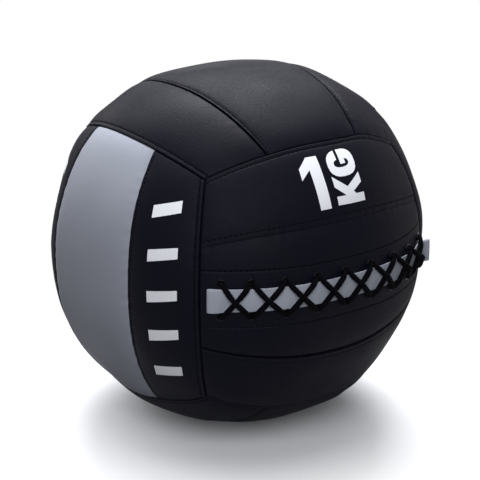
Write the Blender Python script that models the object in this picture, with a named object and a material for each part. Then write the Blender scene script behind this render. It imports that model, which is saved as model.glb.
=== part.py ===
"""Soft wall ball: a sewn cover of panels, laced shut over a bag of fibre filling.

Metres, +Z up. The ball rests on its underside at the origin, with its laced face towards -Y.
The cover is laid out like a cube blown up round: six faces of three strips each, turned so
that no strip runs on into the next face.
"""

import math

import bmesh
import bpy
from mathutils import Matrix, Vector

# Ball
ball_half = 0.175  # from the middle to the top, the underside and the sides
fullness_power = 2.184  # 2 is a sphere, and more fills out the edges and corners
rest_flat_depth = 0.0005  # the underside is pressed flat by this much
fit_gap = 0.0003  # between pieces that touch

# Cover panels: leather with a foam backing that the seams squeeze flat
leather_thickness = 0.0012
seam_depth = 0.0018  # a seam lies this far below the crown of its panels
crown_reach = 0.025  # from a seam to where a panel reaches its full height
hem_width = 0.005
strip_seam_share = 0.40  # strip seams, as a share of half a face
lower_front_seam_share = 0.375
crown_power = 3

# Lacing across the middle of the front face
lacing_height = 0.0035  # above the middle of the ball
slot_width = 0.008  # between the two flaps at the middle; it closes at the band's ends
eyelet_pairs = 9
lacing_half_angle = math.radians(40)  # from the middle to the last pair of eyelets
first_pair_shift = math.radians(1.3)  # the pair at the left end sits nearer its neighbour
facing_thickness = 0.001
facing_end_clearance = 0.005

# Band under the lace
band_width = 0.021
band_thickness = 0.0015
band_left_angle = math.radians(42.4)
band_right_angle = math.radians(42.2)
band_hem_width = 0.010  # the ends are folded under
band_end_lift = 0.009  # the right end stands off the ball
band_end_lift_run = 0.011
band_end_lift_power = 1.3

# Eyelets
eyelet_bore_radius = 0.0029
eyelet_wall = 0.00035
eyelet_flange_width = 0.0011
eyelet_flange_thickness = 0.0008
eyelet_rim_thickness = 0.0006
eyelet_sides = 8
band_to_eyelet_clearance = 0.0004

# Lace
lace_thickness = 0.006
hole_squeeze_share = 0.37  # of its thickness, where two strands share an eyelet
bar_squeeze_share = 0.54  # pressed flat behind the flaps
crossing_squeeze_share = 0.85
lace_exit_lift = 0.0006
lace_exit_rise = 0.0035
lace_tail_gap = 0.008

# Inner pieces
tongue_thickness = 0.001
tongue_end_angle = math.radians(42)
bag_thickness = 0.0006
bag_mouth_length = 0.12
bag_mouth_width = 0.024
opening_clearance = 0.001
opening_depth_share = 0.45  # how near the middle the cuts through the layers reach
cut_overrun = 0.01
core_cuts = 5

edge_angle = math.radians(45)
eyelet_pitch = 2 * lacing_half_angle / (eyelet_pairs - 1)
ball_middle = Vector((0, 0, ball_half - rest_flat_depth))

# Each face: outward, along its strips, across them, and its two strip seams
faces = {
    "left": (Vector((-1, 0, 0)), Vector((0, 0, 1)), Vector((0, -1, 0)), -strip_seam_share),
    "right": (Vector((1, 0, 0)), Vector((0, 0, 1)), Vector((0, -1, 0)), -strip_seam_share),
    "top": (Vector((0, 0, 1)), Vector((0, 1, 0)), Vector((1, 0, 0)), -strip_seam_share),
    "bottom": (Vector((0, 0, -1)), Vector((0, 1, 0)), Vector((1, 0, 0)), -strip_seam_share),
    "front": (Vector((0, -1, 0)), Vector((1, 0, 0)), Vector((0, 0, 1)), -lower_front_seam_share),
    "back": (Vector((0, 1, 0)), Vector((1, 0, 0)), Vector((0, 0, 1)), -strip_seam_share),
}
strip_names = {
    "left": ("rear", "centre", "front"),
    "right": ("rear", "centre", "front"),
    "top": ("left", "centre", "right"),
    "bottom": ("left", "centre", "right"),
    "back": ("lower", "centre", "upper"),
}

# Depths below the ball's full surface, outermost first
facet_sag = ball_half * (1 - math.cos(eyelet_pitch / 2))
eyelet_flange_radius = eyelet_bore_radius + eyelet_wall + eyelet_flange_width
eyelet_offset = band_width / 2 + eyelet_flange_radius + band_to_eyelet_clearance
facing_reach = 2 * eyelet_offset - slot_width / 2  # so that the eyelets are mid facing
facing_sag = ball_half * (1 - math.cos((facing_reach - slot_width / 2) / ball_half / 2))
cover_depth = seam_depth + leather_thickness
facing_depth = cover_depth + fit_gap
rim_depth = facing_depth + facing_thickness + fit_gap
bar_radius = lace_thickness * bar_squeeze_share / 2
shallow_bar_depth = rim_depth + eyelet_rim_thickness + fit_gap + bar_radius
deep_bar_depth = shallow_bar_depth + 2 * bar_radius + fit_gap
bar_sag = ball_half * (1 - math.cos(eyelet_offset / ball_half))
tongue_depth = facet_sag + facing_sag + deep_bar_depth + bar_radius + bar_sag + fit_gap
bag_depth = tongue_depth + tongue_thickness + facet_sag + facing_sag / 2 + fit_gap
padding_depth = cover_depth + fit_gap + 2 * facet_sag
filling_depth = bag_depth + bag_thickness + fit_gap


def material(name, colour, roughness, metallic=0.0):
    made = bpy.data.materials.new(name)
    made.use_nodes = True
    shader = made.node_tree.nodes["Principled BSDF"]
    shader.inputs["Base Color"].default_value = (*colour, 1)
    shader.inputs["Roughness"].default_value = roughness
    shader.inputs["Metallic"].default_value = metallic
    made.diffuse_color = (*colour, 1)
    return made


def finished_object(name, mesh, finish):
    """Put a mesh in the scene, smooth where it curves and sharp at its edges."""
    mesh.shade_smooth()
    mesh.set_sharp_from_angle(angle=math.radians(35))
    mesh.materials.append(finish)
    piece = bpy.data.objects.new(name, mesh)
    bpy.context.collection.objects.link(piece)
    return piece


def mesh_from(bm, name):
    bmesh.ops.recalc_face_normals(bm, faces=bm.faces[:])
    mesh = bpy.data.meshes.new(name)
    bm.to_mesh(mesh)
    bm.free()
    return mesh


def cutter(name, bm):
    """A hidden solid that the Boolean modifiers take away."""
    piece = bpy.data.objects.new(name, mesh_from(bm, name))
    bpy.context.collection.objects.link(piece)
    piece.hide_render = True
    piece.display_type = "WIRE"
    return piece


def cut(piece, tool):
    modifier = piece.modifiers.new(tool.name, "BOOLEAN")
    modifier.operation = "DIFFERENCE"
    modifier.solver = "EXACT"
    modifier.object = tool


def box_cutter(name, low, high):
    bm = bmesh.new()
    size = Matrix.Diagonal((*(high - low), 1))
    bmesh.ops.create_cube(bm, size=1, matrix=Matrix.Translation((low + high) / 2) @ size)
    return cutter(name, bm)


def direction(face, turn, climb):
    """Unit vector at an angle turn along a face's strips, then climb across them."""
    outward, along, across = faces[face][:3]
    level = outward * math.cos(turn) + along * math.sin(turn)
    return level * math.cos(climb) + across * math.sin(climb)


def surface_radius(way):
    return ball_half * sum(abs(part) ** fullness_power for part in way) ** (-1 / fullness_power)


def on_ball(way, depth):
    return ball_middle + way * (surface_radius(way) - depth)


def seam_line(share, shift=0):
    """Line of a seam across a face, moved by a length towards the next face."""
    return lambda turn: math.atan(share * math.cos(turn)) + shift / ball_half


def level_line(height):
    """Line on the front face at one height above the middle of the ball."""

    def climb(turn):
        angle = 0
        for _ in range(4):
            angle = math.asin(height / surface_radius(direction("front", turn, angle)))
        return angle

    return climb


def between(low, high, share):
    return lambda turn: low(turn) + (high(turn) - low(turn)) * share


def crown(distance):
    """0 on a seam and 1 where the panel has its full height."""
    return 1 - (1 - min(abs(distance) / crown_reach, 1)) ** crown_power


def panel_depth(seams):
    """How far a panel's outside lies below the full surface, drawn in at these seams."""

    def depth(turn, climb):
        height = crown((edge_angle - abs(turn)) * ball_half)
        for seam in seams:
            height *= crown((climb - seam(turn)) * ball_half)
        return seam_depth * (1 - height)

    return depth


def column_angles():
    """Places along a strip: a column between each two eyelets, and a hem at each end."""
    half_seam = fit_gap / math.sqrt(2) / ball_half
    end = edge_angle - half_seam
    hem = edge_angle - hem_width / ball_half
    inner = [(k - eyelet_pairs / 2) * eyelet_pitch for k in range(1, eyelet_pairs)]
    return [-end, -hem, *inner, hem, end]


def split_quads(bm):
    """Cut every quad along the same diagonal, so that layers lie one inside another."""
    bmesh.ops.triangulate(bm, faces=bm.faces[:], quad_method="FIXED")


def sheet(name, face, turns, lines, outer_depth, inner_depth, finish):
    """Curved closed sheet on a face: a column of points at each turn, one on each line."""
    bm = bmesh.new()
    columns = []
    for turn in turns:
        climbs = [line(turn) for line in lines]
        ways = [(climb, direction(face, turn, climb)) for climb in climbs]
        columns.append([bm.verts.new(on_ball(way, outer_depth(turn, climb))) for climb, way in ways])
    for left, right in zip(columns, columns[1:]):
        for k in range(len(lines) - 1):
            bm.faces.new((left[k], right[k], right[k + 1], left[k + 1]))
    split_quads(bm)
    outward, along = faces[face][:2]
    inner = bmesh.ops.extrude_face_region(bm, geom=bm.faces[:])["geom"]
    for vert in inner:
        if isinstance(vert, bmesh.types.BMVert):
            way = (vert.co - ball_middle).normalized()
            turn = math.atan2(way.dot(along), way.dot(outward))
            vert.co = on_ball(way, inner_depth(turn))
    return finished_object(name, mesh_from(bm, name), finish)


def cover_lining(_turn):
    return cover_depth


def strip_panel(name, face, low_share, high_share, finish):
    """One cover strip between two seams, crowned in the middle and drawn in all round."""
    half_seam = fit_gap / math.sqrt(2)
    low, high = seam_line(low_share), seam_line(high_share)
    foot, head = seam_line(low_share, half_seam), seam_line(high_share, -half_seam)
    width = (high(0) - low(0)) * ball_half
    hem_share, crown_share = hem_width / width, crown_reach / width
    shares = [hem_share, crown_share, 1 - crown_share, 1 - hem_share]
    turns = column_angles()
    if width > 4 * crown_reach:
        mid_share = (crown_share + 1) / 3
        shares[2:2] = [mid_share, 1 / 2, 1 - mid_share]
        turns.insert(len(turns) // 2, 0)
    lines = [foot, *[between(low, high, share) for share in shares], head]
    return sheet(name, face, turns, lines, panel_depth((low, high)), cover_lining, finish)


def slot_edge(side):
    """Edge of the slot between the flaps, which meet beyond the ends of the band."""

    def climb(turn):
        opening = slot_width * (1 - (turn / band_left_angle) ** 2)
        return level_line(lacing_height + side * max(opening, fit_gap) / 2)(turn)

    return climb


def flap_lines(side):
    """Slot edge, facing edge, and the lines on to the strip seam, above (1) or below (-1)."""
    slot = slot_edge(side)
    facing = level_line(lacing_height + side * facing_reach)
    share = strip_seam_share if side > 0 else -lower_front_seam_share
    seam = seam_line(share)
    hem = seam_line(share, -side * hem_width)
    end = seam_line(share, -side * fit_gap / math.sqrt(2))
    return [slot, facing, between(facing, seam, 1 / 2), hem, end], seam


def lacing_flap(name, side, finish):
    lines, seam = flap_lines(side)
    return sheet(name, "front", column_angles(), lines, panel_depth((seam,)), cover_lining, finish)


def eyelet_facing(name, side, finish):
    """Leather strip sewn behind a flap's edge, which the eyelets pinch."""
    end = edge_angle - facing_end_clearance / ball_half
    turns = [-end, *column_angles()[2:-2], end]
    depth = facing_depth + facing_thickness
    lines = flap_lines(side)[0][:2]
    return sheet(name, "front", turns, lines, lambda *_: facing_depth, lambda _: depth, finish)


def eyelet_turn(number):
    shift = first_pair_shift if number == 0 else 0
    return (number - (eyelet_pairs - 1) / 2) * eyelet_pitch + shift


def eyelet_frame(number, side):
    """Place of an eyelet on its flap: X along the band, Z outward, 0 at the leather's face."""
    turn = eyelet_turn(number)
    turns = column_angles()
    right = next(k for k, angle in enumerate(turns) if angle > turn)
    share = (turn - turns[right - 1]) / (turns[right] - turns[right - 1])
    lines, seam = flap_lines(side)
    depth = panel_depth((seam,))
    low, high = sorted(lines[:2], key=lambda line: line(0))
    height = level_line(lacing_height + side * eyelet_offset)(turn)
    rise = (height - low(turn)) / (high(turn) - low(turn))
    corners = []
    for angle in (turns[right - 1], turns[right]):
        for line in (low, high):
            climb = line(angle)
            corners.append(on_ball(direction("front", angle, climb), depth(angle, climb)))
    left_low, left_high, right_low, right_high = corners
    bottom = left_low.lerp(right_low, share)
    top = left_high.lerp(right_high, share)
    along = (right_low + right_high - left_low - left_high).normalized()
    outward = along.cross(top - bottom).normalized()
    up = outward.cross(along)
    frame = Matrix((along, up, outward)).transposed().to_4x4()
    frame.translation = bottom.lerp(top, rise)
    return frame


def eyelet_mesh():
    """Rolled metal eyelet, turned about its own axis."""
    bore, barrel = eyelet_bore_radius, eyelet_bore_radius + eyelet_wall
    face, back = fit_gap, -rim_depth
    top, bottom = face + eyelet_flange_thickness, back - eyelet_rim_thickness
    outline = [
        (bore, top),
        (eyelet_flange_radius, top),
        (eyelet_flange_radius, face),
        (barrel, face),
        (barrel, back),
        (eyelet_flange_radius, back),
        (eyelet_flange_radius, bottom),
        (bore, bottom),
    ]
    bm = bmesh.new()
    verts = [bm.verts.new((radius, 0, height)) for radius, height in outline]
    edges = [bm.edges.new((a, b)) for a, b in zip(verts, verts[1:] + verts[:1])]
    bmesh.ops.spin(
        bm,
        geom=verts + edges,
        cent=(0, 0, 0),
        axis=(0, 0, 1),
        angle=2 * math.pi,
        steps=eyelet_sides,
        use_merge=True,
    )
    bmesh.ops.remove_doubles(bm, verts=bm.verts[:], dist=fit_gap / 10)
    return mesh_from(bm, "eyelet")


def eyelet_holes(side):
    """Cutter for the row of holes that one flap and its facing have for the eyelets."""
    bm = bmesh.new()
    radius = eyelet_bore_radius + eyelet_wall + fit_gap
    length = rim_depth + 2 * cut_overrun
    for number in range(eyelet_pairs):
        frame = eyelet_frame(number, side)
        middle = Matrix.Translation((0, 0, -rim_depth / 2))
        bmesh.ops.create_cone(
            bm,
            cap_ends=True,
            segments=eyelet_sides,
            radius1=radius,
            radius2=radius,
            depth=length,
            matrix=frame @ middle @ Matrix.Rotation(math.pi / 2, 4, "Z"),
        )
    return cutter("eyelet_holes_upper" if side > 0 else "eyelet_holes_lower", bm)


def band_lift(turn):
    """How far the band's right end stands off the ball."""
    run = (turn - band_right_angle) * ball_half + band_end_lift_run
    return band_end_lift * max(run / band_end_lift_run, 0) ** band_end_lift_power


def lacing_band(finish):
    """Flat webbing over the slot, both ends folded under, the right one standing off."""
    hem = band_hem_width / ball_half
    fold = band_thickness / ball_half
    lift_start = band_right_angle - band_end_lift_run / ball_half
    turns = [-band_left_angle, -band_left_angle + hem, -band_left_angle + hem + fold]
    turns += [angle for angle in column_angles() if turns[-1] < angle < lift_start]
    folds = [lift_start, band_right_angle - hem, band_right_angle - hem + fold]
    turns += folds + [(folds[-1] + band_right_angle) / 2, band_right_angle]
    half = band_width / 2
    lines = [level_line(lacing_height + side * half) for side in (-1, 0, 1)]

    def outside(turn, _climb):
        folded = turn < turns[1] + fold / 2 or turn > folds[1] + fold / 2
        layers = 2 if folded else 1
        return -(fit_gap + layers * band_thickness + band_lift(turn))

    def underside(turn):
        return -(fit_gap + band_lift(turn))

    return sheet("lacing_band", "front", turns, lines, outside, underside, finish)


def lace_route():
    """Points and thickness shares of the one lace, from its top right end and back.

    Out of each upper eyelet it crosses the band to the lower eyelet beside it, goes in there
    and runs up behind the flaps to the upper eyelet of that pair: leftwards over the whole
    row, then back to the right over the first strands.
    """
    band_top = fit_gap + band_thickness
    radius = lace_thickness / 2
    flat_lift = band_top + fit_gap + radius
    low_lift = band_top + fit_gap + radius * crossing_squeeze_share
    high_lift = low_lift + lace_thickness * crossing_squeeze_share + 2 * fit_gap
    spread = lace_thickness * hole_squeeze_share / 2 + fit_gap / 2
    last = eyelet_pairs - 1
    rise_shares = (0.07, 0.16, 0.36)
    points = []

    def in_hole(number, side, hand, height, share):
        place = Vector((hand * spread, 0, height))
        points.append((eyelet_frame(number, side) @ place, share))

    def strand(start, stop, hand, over):
        """Outside, from upper eyelet start down to lower eyelet stop."""
        shift = hand * spread / ball_half
        turn_a, turn_b = eyelet_turn(start) + shift, eyelet_turn(stop) - shift
        peak = high_lift if over else low_lift
        brow = (peak + flat_lift) / 2 if over else flat_lift
        half_lifts = (lace_exit_rise, flat_lift, brow)
        half_shares = (0.8, 1, 1)
        steps = list(zip(rise_shares, half_lifts, half_shares))
        back = [(1 - share, lift, thick) for share, lift, thick in reversed(steps)]
        for share, lift, thick in steps + [(1 / 2, peak, crossing_squeeze_share)] + back:
            turn = turn_a + (turn_b - turn_a) * share
            height = lacing_height + eyelet_offset * (1 - 2 * share)
            way = direction("front", turn, level_line(height)(turn))
            points.append((on_ball(way, -lift), thick))

    def bar(number, hand_low, hand_high, depth):
        """Behind the flaps, from a lower eyelet up to the upper one of its pair."""
        in_hole(number, -1, hand_low, -depth, hole_squeeze_share)
        points.append((None, bar_squeeze_share))
        in_hole(number, 1, hand_high, -depth, hole_squeeze_share)
        points[-2] = ((points[-3][0] + points[-1][0]) / 2, bar_squeeze_share)

    def tail(number, side):
        """End of the lace behind the flaps, cut short of the middle."""
        way = direction("front", eyelet_turn(number), level_line(lacing_height)(eyelet_turn(number)))
        rest = on_ball(way, facet_sag + facing_sag + shallow_bar_depth)
        return rest + Vector((0, 0, side * lace_tail_gap / 2))

    exit_height = fit_gap + eyelet_flange_thickness + lace_exit_lift
    points.append((tail(last, 1), bar_squeeze_share))
    in_hole(last, 1, -1, -shallow_bar_depth, hole_squeeze_share)
    for number in range(last, 0, -1):
        in_hole(number, 1, -1, exit_height, hole_squeeze_share)
        strand(number, number - 1, -1, over=False)
        in_hole(number - 1, -1, 1, exit_height, hole_squeeze_share)
        bar(number - 1, 1, 1 if number == 1 else -1, shallow_bar_depth)
    for number in range(last):
        in_hole(number, 1, 1, exit_height, hole_squeeze_share)
        strand(number, number + 1, 1, over=True)
        in_hole(number + 1, -1, -1, exit_height, hole_squeeze_share)
        if number + 1 < last:
            bar(number + 1, -1, 1, deep_bar_depth)
    in_hole(last, -1, -1, -shallow_bar_depth, hole_squeeze_share)
    points.append((tail(last, -1), bar_squeeze_share))
    return points


def lace(finish):
    route = lace_route()
    curve = bpy.data.curves.new("lace", "CURVE")
    curve.dimensions = "3D"
    curve.bevel_depth = lace_thickness / 2
    curve.bevel_resolution = 2
    curve.use_fill_caps = True
    curve.materials.append(finish)
    spline = curve.splines.new("POLY")
    spline.points.add(len(route) - 1)
    for point, (place, share) in zip(spline.points, route):
        point.co = (*place, 1)
        point.radius = share
    spline.use_smooth = True
    bpy.context.collection.objects.link(bpy.data.objects.new("lace", curve))


def round_body(depth):
    """Closed ball at a depth below the full surface: a cube blown up round."""
    bm = bmesh.new()
    bmesh.ops.create_cube(bm, size=2)
    bmesh.ops.subdivide_edges(bm, edges=bm.edges[:], cuts=core_cuts, use_grid_fill=True)
    split_quads(bm)
    for vert in bm.verts:
        spread = Vector([math.tan(part * edge_angle) for part in vert.co])
        vert.co = on_ball(spread.normalized(), depth)
    return bm


def layer(name, outer_depth, inner_depth, opening, finish):
    """Hollow ball with an opening behind the lacing."""
    piece = finished_object(name, mesh_from(round_body(outer_depth), name), finish)
    cut(piece, opening)
    cut(piece, cutter(name + "_hollow", round_body(inner_depth)))


def front_opening(name, half_length, half_width):
    """Cutter through the front of a layer, centred on the lacing."""
    middle = ball_middle + Vector((0, 0, lacing_height))
    reach = Vector((half_length, 0, half_width))
    low = middle - reach - Vector((0, ball_half + cut_overrun, 0))
    high = middle + reach - Vector((0, ball_half * opening_depth_share, 0))
    return box_cutter(name, low, high)


def add_cover(black, grey):
    for face, names in strip_names.items():
        low_seam = faces[face][3]
        edges = (-1, low_seam, strip_seam_share, 1)
        for name, low, high in zip(names, edges, edges[1:]):
            finish = grey if name == "centre" and face in ("left", "right") else black
            panel = strip_panel(f"{face}_panel_{name}", face, low, high, finish)
            if (face, name) == ("bottom", "centre"):
                reach = Vector((ball_half, ball_half, cut_overrun))
                floor = box_cutter("floor_cut", -reach, Vector((ball_half, ball_half, 0)))
                cut(panel, floor)
    strip_panel("front_panel_lower", "front", -1, -lower_front_seam_share, black)
    strip_panel("front_panel_upper", "front", strip_seam_share, 1, black)


def add_lacing(black, facing_leather, webbing, cord, metal):
    shared = eyelet_mesh()
    shared.materials.append(metal)
    shared.shade_smooth()
    shared.set_sharp_from_angle(angle=math.radians(35))
    for side, word in ((1, "upper"), (-1, "lower")):
        holes = eyelet_holes(side)
        cut(lacing_flap(f"front_flap_{word}", side, black), holes)
        cut(eyelet_facing(f"eyelet_facing_{word}", side, facing_leather), holes)
        for number in range(eyelet_pairs):
            eyelet = bpy.data.objects.new(f"eyelet_{word}_{number + 1}", shared)
            eyelet.matrix_world = eyelet_frame(number, side)
            bpy.context.collection.objects.link(eyelet)
    lacing_band(webbing)
    lace(cord)


def add_inside(leather, foam, cloth, fibre):
    reach = facing_reach - 2 * opening_clearance
    turns = [-tongue_end_angle, *column_angles()[2:-2], tongue_end_angle]
    lines = [level_line(lacing_height + reach * share) for share in (-1, -1 / 2, 0, 1 / 2, 1)]
    depth = tongue_depth + tongue_thickness
    sheet("lacing_tongue", "front", turns, lines, lambda *_: tongue_depth, lambda _: depth, leather)
    half_length = ball_half * math.sin(edge_angle)
    opening = front_opening("padding_opening", half_length, facing_reach + opening_clearance)
    layer("padding_layer", padding_depth, bag_depth - fit_gap, opening, foam)
    mouth = front_opening("bag_mouth", bag_mouth_length / 2, bag_mouth_width / 2)
    layer("filling_bag", bag_depth, bag_depth + bag_thickness, mouth, cloth)
    finished_object("fibre_filling", mesh_from(round_body(filling_depth), "fibre_filling"), fibre)


def main():
    for piece in list(bpy.context.scene.objects):
        bpy.data.objects.remove(piece, do_unlink=True)
    black = material("cover_leather_black", (0.012, 0.012, 0.015), 0.45)
    grey = material("cover_leather_grey", (0.27, 0.285, 0.325), 0.5)
    facing_leather = material("facing_leather", (0.015, 0.015, 0.017), 0.7)
    webbing = material("band_webbing", (0.29, 0.305, 0.345), 0.75)
    cord = material("lace_cord", (0.01, 0.01, 0.012), 0.8)
    metal = material("eyelet_metal", (0.16, 0.16, 0.165), 0.3, 1.0)
    foam = material("padding_foam", (0.75, 0.73, 0.68), 0.9)
    cloth = material("bag_cloth", (0.7, 0.7, 0.68), 0.9)
    fibre = material("filling_fibre", (0.82, 0.81, 0.78), 1.0)
    add_cover(black, grey)
    add_lacing(black, facing_leather, webbing, cord, metal)
    add_inside(facing_leather, foam, cloth, fibre)


main()
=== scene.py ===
# Laced wall ball: leather panels, stitched seams, lace over a webbing band

import math

import bpy
import numpy as np
from mathutils import Matrix, Vector


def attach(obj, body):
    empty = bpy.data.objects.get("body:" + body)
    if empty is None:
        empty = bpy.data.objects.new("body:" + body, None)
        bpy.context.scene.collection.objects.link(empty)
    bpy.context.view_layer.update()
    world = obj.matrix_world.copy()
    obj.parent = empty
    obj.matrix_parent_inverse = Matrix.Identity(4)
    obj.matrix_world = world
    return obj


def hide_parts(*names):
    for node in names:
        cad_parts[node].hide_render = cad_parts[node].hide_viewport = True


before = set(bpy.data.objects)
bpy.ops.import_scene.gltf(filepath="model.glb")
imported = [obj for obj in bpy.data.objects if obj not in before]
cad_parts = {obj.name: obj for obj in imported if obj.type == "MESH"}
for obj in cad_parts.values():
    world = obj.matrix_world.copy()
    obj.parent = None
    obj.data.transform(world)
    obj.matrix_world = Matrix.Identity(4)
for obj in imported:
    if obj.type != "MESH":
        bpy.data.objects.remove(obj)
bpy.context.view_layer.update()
print("frame loaded,", len(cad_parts), "nodes")

mm = 0.001
quarter = math.pi / 4

ball = {
    "half": 0.175,  # from the middle to the top and the sides
    "fullness": 2.184,  # 2 is a sphere, more fills out the corners
    "middle": np.array((0, 0, 0.1745)),
    "floorSoftness": 0.8 * mm,
}

# Outward, along its strips, across them
faceAxes = {
    "left": ((-1, 0, 0), (0, 0, 1), (0, -1, 0)),
    "right": ((1, 0, 0), (0, 0, 1), (0, -1, 0)),
    "top": ((0, 0, 1), (0, 1, 0), (1, 0, 0)),
    "bottom": ((0, 0, -1), (0, 1, 0), (1, 0, 0)),
    "front": ((0, -1, 0), (1, 0, 0), (0, 0, 1)),
    "back": ((0, 1, 0), (1, 0, 0), (0, 0, 1)),
}

seam = {
    "depth": 1.8 * mm,
    "crownReach": 25 * mm,
    "tuckSlope": 0.35,
    "fade": (-1 * mm, 7 * mm),  # beads flatten where they pass under the next face
    "fadedShare": 0.25,
    "fallShare": 0.6,  # of the way to the ridge, where the fold begins to fall
    "puckerHeight": 0.12 * mm,
    "puckerReach": 7 * mm,
    "puckerLengths": (7 * mm, 19 * mm),
    "puckerWaves": 7,
}

# Folded and topstitched edges, in mm: the ridge's height, how far from the fold it is full and the groove
# lies, the groove's depth and width, the fold line's depth and width, the stitches' spacing and their sink
seamParts = ("height", "ridge", "groove", "depth", "width", "lip", "lipWidth", "pitch", "sink")
seamSizes = {
    "edge": (0.75, 0.9, 4.3, 0.55, 0.6, 1, 0.35, 4.2, 0.3),
    "flat": (0.2, 0.9, 4.9, 0.3, 0.5, 0.4, 0.25, 4.9, 0.3),
    "narrow": (0.4, 0.8, 3.1, 0.12, 0.5, 0.9, 0.3, 4.2, 0.45),
    "close": (0.5, 0.7, 2.6, 0.35, 0.5, 1.6, 0.32, 4.2, 0.4),
    "full": (0.75, 0.9, 3.9, 0.2, 0.45, 1.5, 0.5, 4.9, 0.6),
}
seamStyles = {name: dict(zip(seamParts, sizes)) for name, sizes in seamSizes.items()}

# Edges that pass under a neighbour's fold: how far they dip beside it and over what width
tuckStyles = {
    "shallow": {"dip": 0.3 * mm, "reach": 1.2 * mm},
    "creased": {"dip": 1.2 * mm, "reach": 0.9 * mm},
    "deep": {"dip": 2.2 * mm, "reach": 1.15 * mm},
    "open": {"dip": 2.2 * mm, "reach": 1.6 * mm},
}

lumps = {"seed": 11, "waves": 24, "lengths": (0.055, 0.13), "height": 0.4 * mm}

# Where the filling stands out or has sunk: degrees round the ball from the laced face, degrees up,
# height, and how far it spreads in degrees
packing = (
    (53, 9, 3.2 * mm, 7),
    (59, 27, 1.8 * mm, 9),
    (65, 42, 4.4 * mm, 6),
    (87, 66, 1.6 * mm, 7),
    (-172, 72, -4.6 * mm, 13),
    (-138, 48, -2.6 * mm, 5),
    (-124, 17, -2.9 * mm, 10),
    (-109, -23, 2.7 * mm, 10),
    (-99, -40, -1.8 * mm, 5),
    (-27, -65, -2.6 * mm, 5),
    (24, -48, 2.2 * mm, 5),
    (37, -31, -3.2 * mm, 8),
)

# Where the cover has been pulled along its surface: degrees round and up, how far it spreads each way,
# and by how much, to the right and up
pulls = (
    (-2, 20.5, 26, 3.8, 0, -3.8 * mm),
    (34, 41, 18, 5.5, 0, 2.6 * mm),
    (23, 44, 9, 5, 4.2 * mm, 0.6 * mm),
    (22, -18, 10, 5, 0, 2.4 * mm),
    (32, 5, 8, 3, -1.8 * mm, -2 * mm),
    (33, -4.5, 9, 3.6, -2.6 * mm, 2.7 * mm),
)


# Shape of the ball
def unit(vectors):
    return vectors / np.linalg.norm(vectors, axis=-1)[..., None]


def bearing(around, up):
    # degrees round from the laced face, and degrees up
    around, up = math.radians(around), math.radians(up)
    return math.sin(around) * math.cos(up), -math.cos(around) * math.cos(up), math.sin(up)


def axesOf(face):
    return (np.array(axis, float) for axis in faceAxes[face])


def softStep(value, low, high):
    share = np.clip((value - low) / (high - low), 0, 1)
    return share * share * (3 - 2 * share)


def hump(value, centre, width):
    return np.exp(-(((value - centre) / width) ** 2))


def wayOn(face, turn, climb):
    outward, along, across = axesOf(face)
    turn, climb = np.broadcast_arrays(turn, climb)
    level = np.cos(turn)[..., None] * outward + np.sin(turn)[..., None] * along
    return np.cos(climb)[..., None] * level + np.sin(climb)[..., None] * across


def fullRadius(way):
    power = ball["fullness"]
    return ball["half"] * (np.abs(way) ** power).sum(-1) ** (-1 / power)


def lumpWaves():
    random = np.random.default_rng(lumps["seed"])
    headings = unit(random.normal(size=(lumps["waves"], 3)))
    lengths = random.uniform(*lumps["lengths"], lumps["waves"])
    phases = random.uniform(0, 2 * math.pi, lumps["waves"])
    return headings * (2 * math.pi * ball["half"] / lengths)[:, None], phases


waveHeadings, wavePhases = lumpWaves()


def softForm(way):
    waves = np.cos(way @ waveHeadings.T + wavePhases)
    form = lumps["height"] * waves.sum(-1) / math.sqrt(lumps["waves"] / 2)
    for around, up, height, spread in packing:
        apart = np.arccos(np.clip(way @ bearing(around, up), -1, 1))
        form = form + height * hump(apart, 0, math.radians(spread) * math.sqrt(2))
    return form


def pulled(way):
    around = np.degrees(np.arctan2(way[..., 0], -way[..., 1]))
    up = np.degrees(np.arcsin(np.clip(way[..., 2], -1, 1)))
    level = np.hypot(way[..., 0], way[..., 1]) + 1e-9  # never nothing, also at the very top
    right = np.stack((-way[..., 1] / level, way[..., 0] / level, np.zeros(level.shape)), axis=-1)
    above = np.cross(way, right)
    moved = way
    for middle, height, spread, rise, toRight, toUp in pulls:
        share = hump(around, middle, spread) * hump(up, height, rise)
        moved = moved + share[..., None] * (right * toRight + above * toUp) / ball["half"]
    return unit(moved)


def place(face, turn, climb, lift):
    way = pulled(wayOn(face, turn, climb))
    points = ball["middle"] + way * (fullRadius(way) + softForm(way) + lift)[..., None]
    height = points[..., 2]
    points[..., 2] = (height + np.sqrt(height**2 + ball["floorSoftness"] ** 2)) / 2
    return points


def seamClimb(share, turn):
    return np.arctan(share * np.cos(turn))


def crown(distance):
    return 1 - (1 - np.clip(distance / seam["crownReach"], 0, 1)) ** 3


def foldedEdge(distance, style):
    # highest close to the fold, falling towards the stitched groove
    style = {key: value * mm for key, value in seamStyles[style].items()}
    rise = np.sqrt(1 - (1 - np.clip(distance / style["ridge"], 0, 1)) ** 2)
    fall = softStep(distance, style["ridge"] * seam["fallShare"], style["groove"])
    bead = style["height"] * (rise - fall)
    groove = style["depth"] * hump(distance, style["groove"], style["width"])
    lip = style["lip"] * hump(distance, 0, style["lipWidth"])
    return bead, -groove - lip


def tuckedEdge(distance, style):
    return -tuckStyles[style]["dip"] * hump(np.maximum(distance, 0), 0, tuckStyles[style]["reach"])


def gathers(along, key):
    random = np.random.default_rng(key)
    lengths = random.uniform(*seam["puckerLengths"], seam["puckerWaves"])
    phases = random.uniform(0, 2 * math.pi, seam["puckerWaves"])
    waves = np.cos(2 * math.pi * along[..., None] / lengths + phases)
    return waves.sum(-1) / 2


def edgeKey(face, side):
    # the two faces that meet at an edge draw the same gathers
    outward, along, across = axesOf(face)
    corner = {"low": outward - across, "high": outward + across,
              "start": outward - along, "end": outward + along}[side]
    return int(corner @ (1, 3, 9)) + 50


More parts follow.
